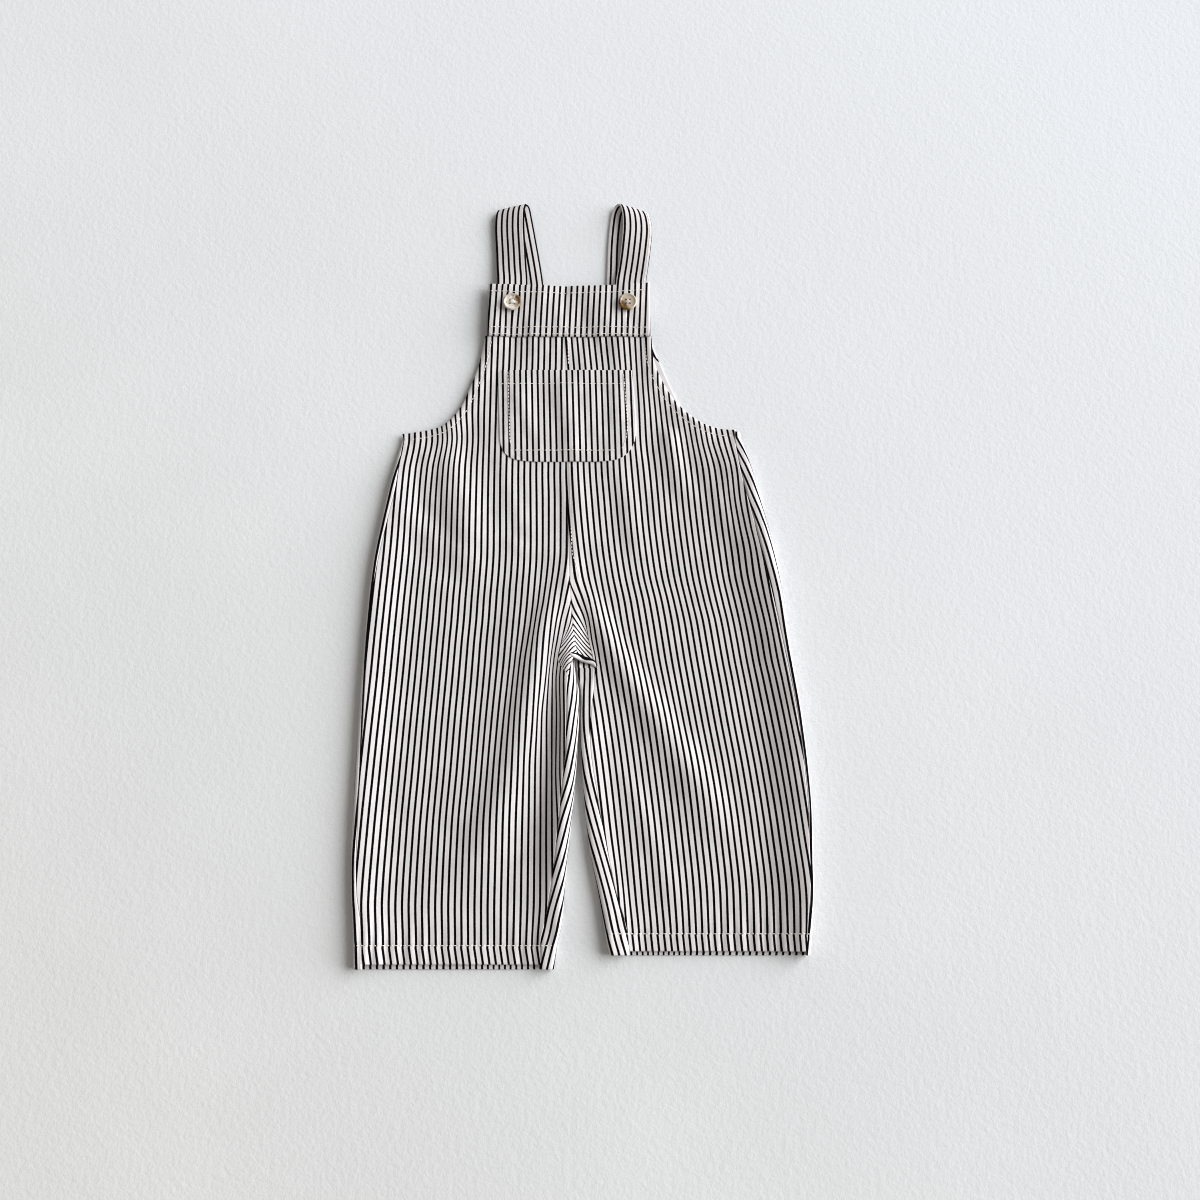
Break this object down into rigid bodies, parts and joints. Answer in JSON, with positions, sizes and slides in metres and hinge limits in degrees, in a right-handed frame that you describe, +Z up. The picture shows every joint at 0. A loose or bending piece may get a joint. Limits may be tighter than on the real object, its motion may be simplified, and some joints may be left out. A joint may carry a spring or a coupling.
{
  "type": "kids bib overalls",
  "caption": "Child's bib overalls in striped cotton, laid flat: buttoned straps over a banded bib, patch pocket, wide straight legs with turned hems.",
  "frame": {"origin": "middle of the bounding box's underside, on the surface the garment lies on", "axes": "+X to the right as seen from above, +Y from the leg hems to the shoulder folds, +Z up out of the bib"},
  "size_m": [0.3053, 0.5593, 0.0115],
  "materials": {
    "striped_cotton": "matt cotton twill, off-white with narrow black stripes",
    "button": "mottled horn-like resin, semi-gloss",
    "thread": "cream sewing thread"
  },
  "bodies": {
    "root": {"front_left": "striped_cotton", "front_right": "striped_cotton", "back_left": "striped_cotton", "back_right": "striped_cotton", "bib_band": "striped_cotton", "pocket": "striped_cotton", "strap_left": "striped_cotton", "strap_right": "striped_cotton", "leg_hem_left": "striped_cotton", "leg_hem_right": "striped_cotton", "armhole_hem_left": "striped_cotton", "armhole_hem_right": "striped_cotton", "button_left": "button", "button_right": "button"}
  },
  "joints": []
}
